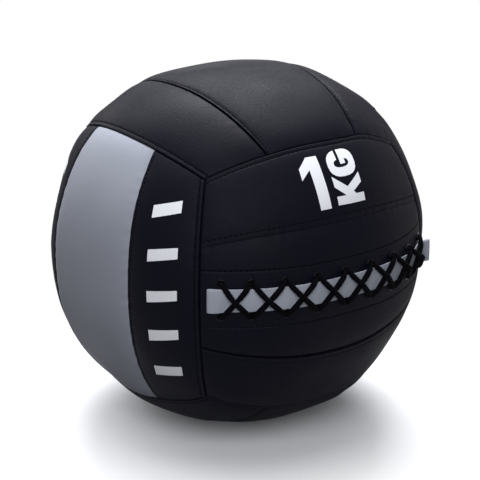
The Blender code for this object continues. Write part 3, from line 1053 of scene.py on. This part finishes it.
# Webbing band
band = {
    "width": 21 * mm,
    "thickness": 1.1 * mm,
    "leftTurn": math.radians(42.4),
    "rightTurn": math.radians(42.2),
    "restLift": 0.95 * mm,
    "puff": 0.55 * mm,
    "puffWidth": 4 * mm,
    "strandSlant": 0.67,
    "rowEnd": 0.02,  # past the last eyelets, in radians
    "rowFade": 0.04,
    "onFlap": (0.5 * mm, 0.9 * mm),  # lower than this the band is tucked in
    "step": 0.9 * mm,
    "restPoints": 60,
    "rows": 17,
    "selvedge": 0.3 * mm,
    # from each fold, inwards and outwards off the ball, in mm
    "leftEnd": ((12, 1.0), (8, 0.98), (3.5, 1.0), (1.5, 1.1), (0.3, 1.8), (0, 2.9), (0.4, 4.0), (1.6, 4.8),
                (3.5, 5.1), (6.5, 4.8), (9.5, 4.0), (12.5, 2.8), (15.5, 1.7), (18, 1.1), (20, 0.95)),
    "rightEnd": ((20, 0.95), (15, 0.95), (12, 1.0), (9.5, 1.7), (7.5, 3.1), (5.5, 5.0), (3.5, 7.1), (2, 8.7),
                 (0.9, 9.5), (0.1, 9.2), (0, 8.3), (0.8, 7.1), (2.3, 5.5), (4.3, 3.7), (6.2, 2.4)),
}


def smoothThrough(points, step):
    # one smooth line through the points, and each sample's place among them
    points = np.asarray(points, float)
    gaps = np.linalg.norm(np.diff(points, axis=0), axis=1)
    marks = np.concatenate(([0], np.cumsum(gaps)))
    slopes = np.empty_like(points)
    slopes[1:-1] = (points[2:] - points[:-2]) / (marks[2:] - marks[:-2])[:, None]
    slopes[0], slopes[-1] = (points[1] - points[0]) / gaps[0], (points[-1] - points[-2]) / gaps[-1]
    where = np.linspace(0, marks[-1], max(2, round(marks[-1] / step)) + 1)
    k = np.clip(np.searchsorted(marks, where, side="right") - 1, 0, len(gaps) - 1)
    share = ((where - marks[k]) / gaps[k])[:, None]
    span = gaps[k][:, None]
    near = points[k] * (1 + 2 * share) * (1 - share) ** 2 + slopes[k] * span * share * (1 - share) ** 2
    far = points[k + 1] * share**2 * (3 - 2 * share) - slopes[k + 1] * span * share**2 * (1 - share)
    return near + far, where, marks


def bandPuff(turn, height):
    # held down under each strand of the lace, a little slack between them
    part = (turn / lacing["pitch"] + (lacing["pairs"] - 1) / 2) % 1
    line = lacing["eyeletOffset"] * (1 - 2 * part)
    level = height - lacing["height"]
    near = np.minimum(np.abs(level - line), np.abs(level + line)) * band["strandSlant"]
    inRow = softStep(eyeletTurn(lacing["pairs"] - 1) + band["rowEnd"] - np.abs(turn), 0, band["rowFade"])
    return band["puff"] * (1 - hump(near, 0, band["puffWidth"])) * inRow


def bandPath():
    # along the band and off the ball, from the fold at its left end to the one at its right
    length = (band["leftTurn"] + band["rightTurn"]) * ball["half"]
    left = [(run * mm, lift * mm) for run, lift in band["leftEnd"]]
    right = [(length - run * mm, lift * mm) for run, lift in band["rightEnd"]]
    steps = np.linspace(left[-1][0], right[0][0], band["restPoints"])[1:-1]
    path = left + [(run, band["restLift"]) for run in steps] + right
    return smoothThrough(path, band["step"])[0]


def addBand():
    path, rows = bandPath(), band["rows"]
    turns = (path[:, 0] / ball["half"] - band["leftTurn"])[:, None]
    heights = lacing["height"] + band["width"] * np.linspace(-0.5, 0.5, rows)[None, :]
    turns, heights = np.broadcast_arrays(turns, heights)
    onFlap = softStep(path[:, 1], *band["onFlap"])[:, None]
    lifts = path[:, 1][:, None] + bandPuff(turns, heights) * onFlap
    laid = place("front", turns, levelClimb(heights, turns), lifts)
    piece = addGrid("lacing_band_webbing", len(path), rows)
    column, row = gridPlaces(piece, len(path), rows)
    writePoints(piece, laid[column, row])
    addModifier(piece, "SOLIDIFY", thickness=band["thickness"], offset=0)
    addModifier(piece, "BEVEL", width=band["selvedge"], segments=2, angle_limit=math.radians(50))
    applyModifiers(piece)
    faceOutward(piece)
    smooth(piece)
    finish(piece, ["lacing_band"], bandWebbing)


addBand()
print("webbing band made")


# Lace
lace = {
    "thickness": 5.3 * mm,
    "holeShare": 0.5,
    "sway": (0.12, 0.012),  # strands bow downwards, and run steeper at their ends
    "arch": 0.3,  # of the upper strands, upwards, towards the right end
    "archTurns": (math.radians(5), math.radians(32)),
    "barShare": 0.54,
    "loneShare": 0.9,  # where one strand has an eyelet to itself
    "loneShift": 0.15,
    "holeStretch": 1.9,  # two strands in one eyelet are pressed flat against each other
    "stretchReach": 3.2 * mm,
    "stretchShares": (0.52, 0.8),
    "crossShare": 0.85,
    "flatShare": 0.97,
    "bandTop": 1.65 * mm,
    "exitHeight": 1.5 * mm,
    "exitRise": 3.5 * mm,
    "exitShare": 0.8,
    "strandParts": (0.07, 0.16, 0.36),  # out of the eyelet, down on the band, before the crossing
    "backDepth": (6.6 * mm, 10.2 * mm),
    "tailGap": 8 * mm,
    "tailDrop": 1.5 * mm,
    "step": 0.55 * mm,
    "around": 16,
    "plaits": 4,
    "plaitPitch": 6.5 * mm,
    "plaitHeight": 0.07,
}


def laceRoute():
    radius = lace["thickness"] / 2
    spread = lace["thickness"] * lace["holeShare"] / 2
    flat = lace["bandTop"] + radius * lace["flatShare"]
    low = lace["bandTop"] + radius * lace["crossShare"]
    high = low + 2 * radius * lace["crossShare"]
    last = lacing["pairs"] - 1
    shallow, deep = lace["backDepth"]
    route = []

    def through(number, side, hand, height):
        share = lace["holeShare"]
        if number in (0, last):
            hand, share = hand * lace["loneShift"], lace["loneShare"]
        route.append((np.array(eyeletFrame(number, side) @ Vector((hand * spread, 0, height))), share))

    def across(start, stop, hand, over):
        shift = hand * spread / ball["half"]
        first, second = eyeletTurn(start) + shift, eyeletTurn(stop) - shift
        peak = high if over else low
        brow = (peak + flat) / 2 if over else flat
        steps = list(zip(lace["strandParts"], (lace["exitRise"], flat, brow), (lace["exitShare"], 1, 1)))
        mirrored = [(1 - part, lift, share) for part, lift, share in steps[::-1]]
        steps += [(0.5, peak, lace["crossShare"])] + mirrored
        bow, steep = lace["sway"]
        if over:
            bow = bow - lace["arch"] * softStep(eyeletTurn(start), *lace["archTurns"])
        for part, lift, share in steps:
            moved = part - bow * part * (1 - part) - steep * math.sin(2 * math.pi * part)
            turn = np.array([first + (second - first) * moved])
            climb = levelClimb(lacing["height"] + lacing["eyeletOffset"] * (1 - 2 * part), turn)
            route.append((place("front", turn, climb, lift)[0], share))

    def behind(number, handLow, handHigh, depth):
        through(number, -1, handLow, -depth)
        through(number, 1, handHigh, -depth)
        middle = (route[-2][0] + route[-1][0]) / 2
        route.insert(-1, (middle, lace["barShare"]))

    def tail(side):
        turn = np.array([eyeletTurn(last)])
        depth = shallow + lace["tailDrop"]
        rest = place("front", turn, levelClimb(lacing["height"], turn), -depth)[0]
        route.append((rest + np.array((0, 0, side * lace["tailGap"] / 2)), lace["barShare"]))

    tail(1)
    through(last, 1, -1, -shallow)
    for number in range(last, 0, -1):
        through(number, 1, -1, lace["exitHeight"])
        across(number, number - 1, -1, False)
        through(number - 1, -1, 1, lace["exitHeight"])
        behind(number - 1, 1, 1 if number == 1 else -1, shallow)
    for number in range(last):
        through(number, 1, 1, lace["exitHeight"])
        across(number, number + 1, 1, True)
        through(number + 1, -1, -1, lace["exitHeight"])
        if number + 1 < last:
            behind(number + 1, -1, 1, deep)
    through(last, -1, -1, -shallow)
    tail(-1)
    return route


def ringFrames(path, tangents):
    sides = np.empty_like(path)
    side = np.cross(tangents[0], (1, 0, 0))
    for k, tangent in enumerate(tangents):
        side = unit(side - tangent * (side @ tangent))
        sides[k] = side
    return sides, np.cross(tangents, sides)


def pressedRings(path, tangents, ring, radii):
    # taller than wide where two strands share an eyelet
    upward = unit(np.array((0, 0, 1)) - tangents * tangents[:, 2:])
    pressed = 1 - softStep(radii / (lace["thickness"] / 2), *lace["stretchShares"])
    away = path - ball["middle"]
    outside = np.linalg.norm(away, axis=1) - fullRadius(unit(away))
    pressed = pressed * softStep(outside, -lace["stretchReach"], 0)
    stretch = (lace["holeStretch"] - 1) * pressed[:, None]
    return ring + ((ring * upward[:, None]).sum(-1) * stretch)[..., None] * upward[:, None]


def bridgedRings(name, points, around):
    # a tube over rings of points, closed at both ends
    first = np.arange(len(points) // around - 1)[:, None] * around
    here, there = np.arange(around), (np.arange(around) + 1) % around
    quads = np.stack((first + here, first + there, first + around + there, first + around + here), axis=-1)
    caps = [list(range(around))[::-1], list(range(len(points) - around, len(points)))]
    mesh = bpy.data.meshes.new(name)
    mesh.from_pydata(points.tolist(), [], quads.reshape(-1, 4).tolist() + caps)
    return link(name, mesh)


def addLace():
    route = laceRoute()
    path, where, marks = smoothThrough([point for point, share in route], lace["step"])
    radii = np.interp(where, marks, [share for point, share in route]) * lace["thickness"] / 2
    tangents = unit(np.gradient(path, axis=0))
    sides, ups = ringFrames(path, tangents)
    angles = np.arange(lace["around"]) * 2 * math.pi / lace["around"]
    winding = angles[None, :] / (2 * math.pi) * lace["plaits"]
    run = where[:, None] / lace["plaitPitch"] * lace["plaits"] / 2
    plait = np.maximum(np.cos(2 * math.pi * (winding + run)), np.cos(2 * math.pi * (winding - run)))
    reach = radii[:, None] * (1 - lace["plaitHeight"] + lace["plaitHeight"] * plait)
    ring = np.cos(angles)[None, :, None] * sides[:, None] + np.sin(angles)[None, :, None] * ups[:, None]
    ring = pressedRings(path, tangents, ring, radii)
    points = (path[:, None] + ring * reach[..., None]).reshape(-1, 3)
    piece = bridgedRings("lace_cord_braid", points, lace["around"])
    faceOutward(piece)
    smooth(piece, 60)
    finish(piece, ["lace"], laceCord)
    print("lace length", round(float(where[-1]), 3), "m")


addLace()


# Facings behind the flaps, and the tongue behind the lace
backing = {
    "facing": {"depth": 3.35 * mm, "thickness": 0.9 * mm, "reach": 26.5 * mm, "lastTurn": quarter - 0.03,
               "slack": 0},
    "tongue": {"depth": 14.6 * mm, "thickness": 0.9 * mm, "reach": 24.5 * mm, "lastTurn": math.radians(42),
               "slack": 0.3 * mm},
    "slotGap": 0.2 * mm,
    "thinned": 0.3,  # soft edges
    "edgeWidth": 0.6,  # of a row
    "waves": (40, 4),
    "columns": 120,
    "rows": 15,
}


def backingSheet(name, part, edges):
    # each edge lies at a height of its own, or beside the slot
    part = backing[part]
    turns = np.linspace(-part["lastTurn"], part["lastTurn"], backing["columns"])[:, None]
    shares = np.linspace(0, 1, backing["rows"])
    low, high = (slotHeight(side, turns) + side * backing["slotGap"] if besideSlot
                 else lacing["height"] + side * part["reach"] for side, besideSlot in edges)
    climbs = levelClimb(low * (1 - shares) + high * shares, turns)
    # soft edges and a slight wave, as leather has where nothing stretches it
    edge = np.minimum(shares, 1 - shares) * (backing["rows"] - 1)
    thinned = backing["thinned"] * part["thickness"] * hump(edge, 0, backing["edgeWidth"])
    along, across = backing["waves"]
    wave = part["slack"] * (1 + np.cos(turns * along + shares * across)) / 2
    outside = -part["depth"] - thinned - wave
    inside = outside - part["thickness"] + 2 * thinned
    return layLeather(name, "front", turns, climbs, outside, inside)


def finishBacking(sheet, node):
    finish(sheet, [node], facingLeather)


for side, word in sideNames.items():
    node = "eyelet_facing_" + word
    sheet = backingSheet(node, "facing", ((side, side > 0), (side, side < 0)))
    punchHoles(sheet, side)
    finishBacking(sheet, node)
finishBacking(backingSheet("lacing_tongue", "tongue", ((-1, False), (1, False))), "lacing_tongue")
print("facings and tongue made")


# Foam padding, filling bag and fibre inside the cover
inside = {
    "paddingDepth": 4.9 * mm,
    "paddingBack": 16.3 * mm,
    "paddingCells": 90,
    "paddingOpening": (math.sin(quarter) * ball["half"], 27.5 * mm),
    "openingCorners": 9 * mm,
    "bagDepth": 16.9 * mm,
    "bagThickness": 0.5 * mm,
    "bagMouth": (60 * mm, 12 * mm),
    "mouthCorners": 10.8 * mm,
    "mouthDepth": 0.6,  # of the ball's half width, as is the next one
    "mouthPlace": 0.8,
    "cornerSegments": 6,
    "bagRipple": 0.18 * mm,
    "fibreDepth": 18.2 * mm,
    "fibreRipple": 0.5 * mm,
    "fibreWaves": 60,
    "waveTurns": 14,
    "cells": 70,
}


def roundBody(name, depth, cells, ripple=0.0, waves=26):
    deselectAll()
    bpy.ops.mesh.primitive_cube_add(size=2)
    body = named(name)
    editMesh(body, lambda: bpy.ops.mesh.subdivide(number_cuts=cells - 1))
    way = unit(np.tan(readPoints(body) * quarter))
    random = np.random.default_rng(cells)
    headings = random.normal(size=(waves, 3)) * inside["waveTurns"]
    rippled = np.cos(way @ headings.T + random.uniform(0, 2 * math.pi, waves)).sum(-1) / math.sqrt(waves)
    reach = fullRadius(way) + softForm(way) - depth - ripple * (1 + rippled / 3)
    writePoints(body, ball["middle"] + way * reach[:, None])
    smooth(body)
    return body


def mouthCutter(halfLength, halfWidth, radius):
    # a rounded block that reaches from outside the ball to well behind the flaps
    deselectAll()
    bpy.ops.mesh.primitive_cube_add(size=1)
    cutter = named("mouthCutter")
    reach = ball["half"]
    points = readPoints(cutter) * (2 * halfLength, reach * inside["mouthDepth"], 2 * halfWidth)
    writePoints(cutter, points + ball["middle"] + (0, -reach * inside["mouthPlace"], lacing["height"]))
    addModifier(cutter, "BEVEL", width=radius, segments=inside["cornerSegments"], limit_method="ANGLE")
    applyModifiers(cutter)
    return cutter


padding = roundBody("padding_layer_foam", inside["paddingDepth"], inside["paddingCells"])
cutAway(padding, mouthCutter(*inside["paddingOpening"], inside["openingCorners"]))
cutAway(padding, roundBody("paddingHollow", inside["paddingBack"], inside["cells"]))
smooth(padding)
finish(padding, ["padding_layer"], softFoam)

bag = roundBody("filling_bag_cloth", inside["bagDepth"], inside["paddingCells"], inside["bagRipple"])
addModifier(bag, "SOLIDIFY", thickness=inside["bagThickness"], offset=-1)
cutAway(bag, mouthCutter(*inside["bagMouth"], inside["mouthCorners"]))
smooth(bag)
finish(bag, ["filling_bag"], bagCloth)

fibre = roundBody("fibre_filling_loose", inside["fibreDepth"], inside["cells"], inside["fibreRipple"],
                  inside["fibreWaves"])
finish(fibre, ["fibre_filling"], looseFibre)
print("inner layers made")


# White ink: the weight mark and plain bars
ink = {
    "lift": 0.14 * mm,
    "thickness": 0.12 * mm,
    "cell": 3 * mm,
}

# In mm, to the right and up on the front face; the unit's letters are drawn upright and then laid on
# their side, each with its foot at so far to the right and its left edge at so far up
weightMark = {
    "one": ((-6.2, 76), (-6.2, 118), (-17.5, 118), (-28, 110), (-28.5, 100.8), (-18.1, 108.3), (-17.7, 76)),
    "k": ((0, 0), (6.7, 0), (6.7, 9.3), (9, 11.5), (15.1, 0), (23.1, 0), (13.5, 17.2), (23.1, 31.8),
          (14.4, 31.8), (6.7, 21), (6.7, 31.8), (0, 31.8)),
    "kPlace": (33.7, 77),
    "kLean": 0.03,  # down to the right
    "gPlace": (33.9, 98.3),
    "gSize": (21.1, 31.9),
    "gStroke": 7.3,
    "gBar": ((1, 0.53), (0.46, 0.53), (0.46, 0.35), (0.62, 0.35)),  # as shares of its size
    "gRing": (10.6, 345),  # where the ring's outer side starts and stops, in degrees
    "gInnerRing": (331, 22.6),
    "gSquareness": 0.8,
    "gRound": 20,  # points round the open ring
}

# Along the strip in mm, across it as shares of the face in percent
plainBars = {
    "count": 5,
    "middle": 3,
    "pitch": 45,
    "near": 55.5,
    "far": 80,
    "thickness": 12,
    "slant": 6,
    "fan": 0.11,  # more slant towards the ends, as the strip narrows
}


def onFace(along, up):
    # a place given in plane coordinates on a face, as turn and climb
    power, half = ball["fullness"], ball["half"]
    outward = (half**power - np.abs(along) ** power - np.abs(up) ** power) ** (1 / power)
    return np.arctan2(along, outward), np.arcsin(up / np.sqrt(along**2 + up**2 + outward**2))


def onStrip(along, share):
    turn = along / ball["half"]
    return turn, seamClimb(share / (100 * mm), turn)


def flatShapes(name, outlines):
    curve = bpy.data.curves.new(name, "CURVE")
    curve.dimensions, curve.fill_mode = "2D", "BOTH"
    for outline in outlines:
        spline = curve.splines.new("POLY")
        spline.points.add(len(outline) - 1)
        for point, (along, up) in zip(spline.points, outline):
            point.co = (along * mm, up * mm, 0, 1)
        spline.use_cyclic_u = True
    choose(link(name, curve))
    bpy.ops.object.convert(target="MESH")
    return named(name)


def printShapes(name, strip, outlines, layOut):
    piece = flatShapes(name, outlines)
    flat = readPoints(piece)
    low, high = flat.min(0), flat.max(0)

    def cutIntoCells():
        for axis, direction in enumerate((Vector((1, 0, 0)), Vector((0, 1, 0)))):
            for cut in np.arange(low[axis] + ink["cell"], high[axis], ink["cell"]):
                bpy.ops.mesh.select_all(action="SELECT")
                bpy.ops.mesh.bisect(plane_co=direction * float(cut), plane_no=direction)

    editMesh(piece, cutIntoCells)
    turn, climb = layOut(*readPoints(piece)[:, :2].T)
    writePoints(piece, place(strip["face"], turn, climb, coverLift(strip, turn, climb) + ink["lift"]))
    addModifier(piece, "SOLIDIFY", thickness=ink["thickness"], offset=-1)
    applyModifiers(piece)
    faceOutward(piece)
    smooth(piece, 60)
    finish(piece, [], whiteInk)


def layLetter(outline, spot, lean=0):
    # drawn upright from its foot, then turned a quarter to read upwards
    foot, low = spot
    return [(foot - up, low + along - lean * (foot - up)) for along, up in outline]


def letterG():
    wide, high = weightMark["gSize"]

    def ring(reach, start, stop):
        # an open ring, a little squarer than an ellipse
        points = []
        for step in range(weightMark["gRound"] + 1):
            angle = math.radians(start + (stop - start) * step / weightMark["gRound"])
            across, up = (math.copysign(abs(part) ** weightMark["gSquareness"], part)
                          for part in (math.cos(angle), math.sin(angle)))
            points.append((wide / 2 + (wide / 2 - reach) * across, high / 2 + (high / 2 - reach) * up))
        return points

    bar = [(wide * across, high * up) for across, up in weightMark["gBar"]]
    return ring(0, *weightMark["gRing"]) + bar + ring(weightMark["gStroke"], *weightMark["gInnerRing"])


def barOutlines(side):
    outlines = []
    near, far, half = plainBars["near"] * side, plainBars["far"] * side, plainBars["thickness"] / 2
    for number in range(plainBars["count"]):
        middle = plainBars["middle"] + (number - (plainBars["count"] - 1) / 2) * plainBars["pitch"]
        lean = (plainBars["slant"] + plainBars["fan"] * middle) / 2
        outlines.append(((middle - half - lean, near), (middle + half - lean, near),
                         (middle + half + lean, far), (middle - half + lean, far)))
    return outlines


letters = [weightMark["one"], layLetter(weightMark["k"], weightMark["kPlace"], weightMark["kLean"]),
           layLetter(letterG(), weightMark["gPlace"])]
printShapes("weight_mark_print", strips["front_panel_upper"], letters, onFace)
printShapes("plain_bars_front_print", strips["left_panel_front"], barOutlines(1), onStrip)
printShapes("plain_bars_rear_print", strips["left_panel_rear"], barOutlines(-1), onStrip)
print("print made")


# Camera, light and floor
studio = {
    "azimuth": -34.49,
    "elevation": 18.91,
    "distance": 1.797,
    "lens": 137.8,
    "sensor": 36,
    "aimRight": 4.36 * mm,
    "aimUp": -1.52 * mm,
    "reach": 1.9,
    "boxSize": 1.4,
    "boxColour": (0.95, 0.965, 1),
    "floorSize": 14,
    "floorPale": (0.85, 0.85, 0.86, 1),
    "floorDim": (0.15, 0.15, 0.155, 1),  # as the ball's own light sees it
    "floorFade": (0.1, 0.34),
    "floorRoughness": 0.9,
    "floorSpecular": 0.1,
}

# Degrees to the right of straight behind the ball as the camera sees it, degrees up, watts
softboxes = {
    "overhead": (0, 90, 24),
    "behind": (0, 60, 72),
    "behindLow": (0, 30, 12),
    "left": (-90, 60, 6),
    "leftBehindLow": (-45, 30, 15),
    "frontLow": (180, 30, 31),
}


def aimed(way):
    return way.to_track_quat("-Z", "Y").to_euler()


def addCamera():
    back = Vector(bearing(studio["azimuth"], studio["elevation"]))
    right = (-back).cross(Vector((0, 0, 1))).normalized()
    up = right.cross(-back)
    middle = Vector(ball["middle"])
    aim = middle + right * studio["aimRight"] + up * studio["aimUp"]
    spot = middle + back * studio["distance"]
    bpy.ops.object.camera_add(location=spot, rotation=aimed(aim - spot))
    camera = bpy.context.active_object
    camera.data.lens, camera.data.sensor_width = studio["lens"], studio["sensor"]
    bpy.context.scene.camera = camera


def addSoftbox(name, around, up, power):
    away = Vector(bearing(studio["azimuth"] + 180 - around, up))
    spot = Vector(ball["middle"]) + away * studio["reach"]
    bpy.ops.object.light_add(type="AREA", location=spot, rotation=aimed(-away))
    lamp = bpy.context.active_object
    lamp.name = name + "Softbox"
    lamp.data.shape, lamp.data.size = "SQUARE", studio["boxSize"]
    lamp.data.energy, lamp.data.color = power, studio["boxColour"]


def addFloor():
    deselectAll()
    bpy.ops.mesh.primitive_plane_add(size=studio["floorSize"])
    floor = named("studioFloor")
    material, tree, shader = newMaterial("paleFloor")
    bounced = addNode(tree, "ShaderNodeLightPath").outputs["Is Diffuse Ray"]
    colours = {0: bounced, 6: studio["floorPale"], 7: studio["floorDim"]}
    colour = addNode(tree, "ShaderNodeMix", colours, data_type="RGBA").outputs[2]
    feed(tree, shader, {"Base Color": colour, "Roughness": studio["floorRoughness"],
                        "Specular IOR Level": studio["floorSpecular"]})
    # the floor fades into the white backdrop round the ball
    away = vectorNode(tree, "LENGTH", {0: objectPlace(tree)})["Value"]
    share = rangeNode(tree, away, *studio["floorFade"], interpolation_type="SMOOTHSTEP")
    clear = addNode(tree, "ShaderNodeBsdfTransparent").outputs[0]
    mixed = addNode(tree, "ShaderNodeMixShader", {0: share, 1: shader.outputs[0], 2: clear}).outputs[0]
    feed(tree, tree.nodes["Material Output"], {"Surface": mixed})
    floor.data.materials.append(material)


def lightWorld():
    # white where it is seen or mirrored, dark where it would light the ball
    world = bpy.data.worlds.new("studioWorld")
    bpy.context.scene.world = world
    world.use_nodes = True
    tree = world.node_tree
    dark = feed(tree, tree.nodes["Background"], {"Strength": 0}).outputs[0]
    white = addNode(tree, "ShaderNodeBackground", {"Color": (1, 1, 1, 1), "Strength": 1}).outputs[0]
    rays = addNode(tree, "ShaderNodeLightPath").outputs
    seen = add(tree, rays["Is Camera Ray"], rays["Is Glossy Ray"])
    seen = add(tree, seen, rays["Is Transmission Ray"])
    mixed = addNode(tree, "ShaderNodeMixShader", {0: seen, 1: dark, 2: white}).outputs[0]
    feed(tree, tree.nodes["World Output"], {"Surface": mixed})


addCamera()
lightWorld()
addFloor()
for name, softbox in softboxes.items():
    addSoftbox(name, *softbox)
bpy.context.scene.view_settings.view_transform = "Standard"
print("studio set")
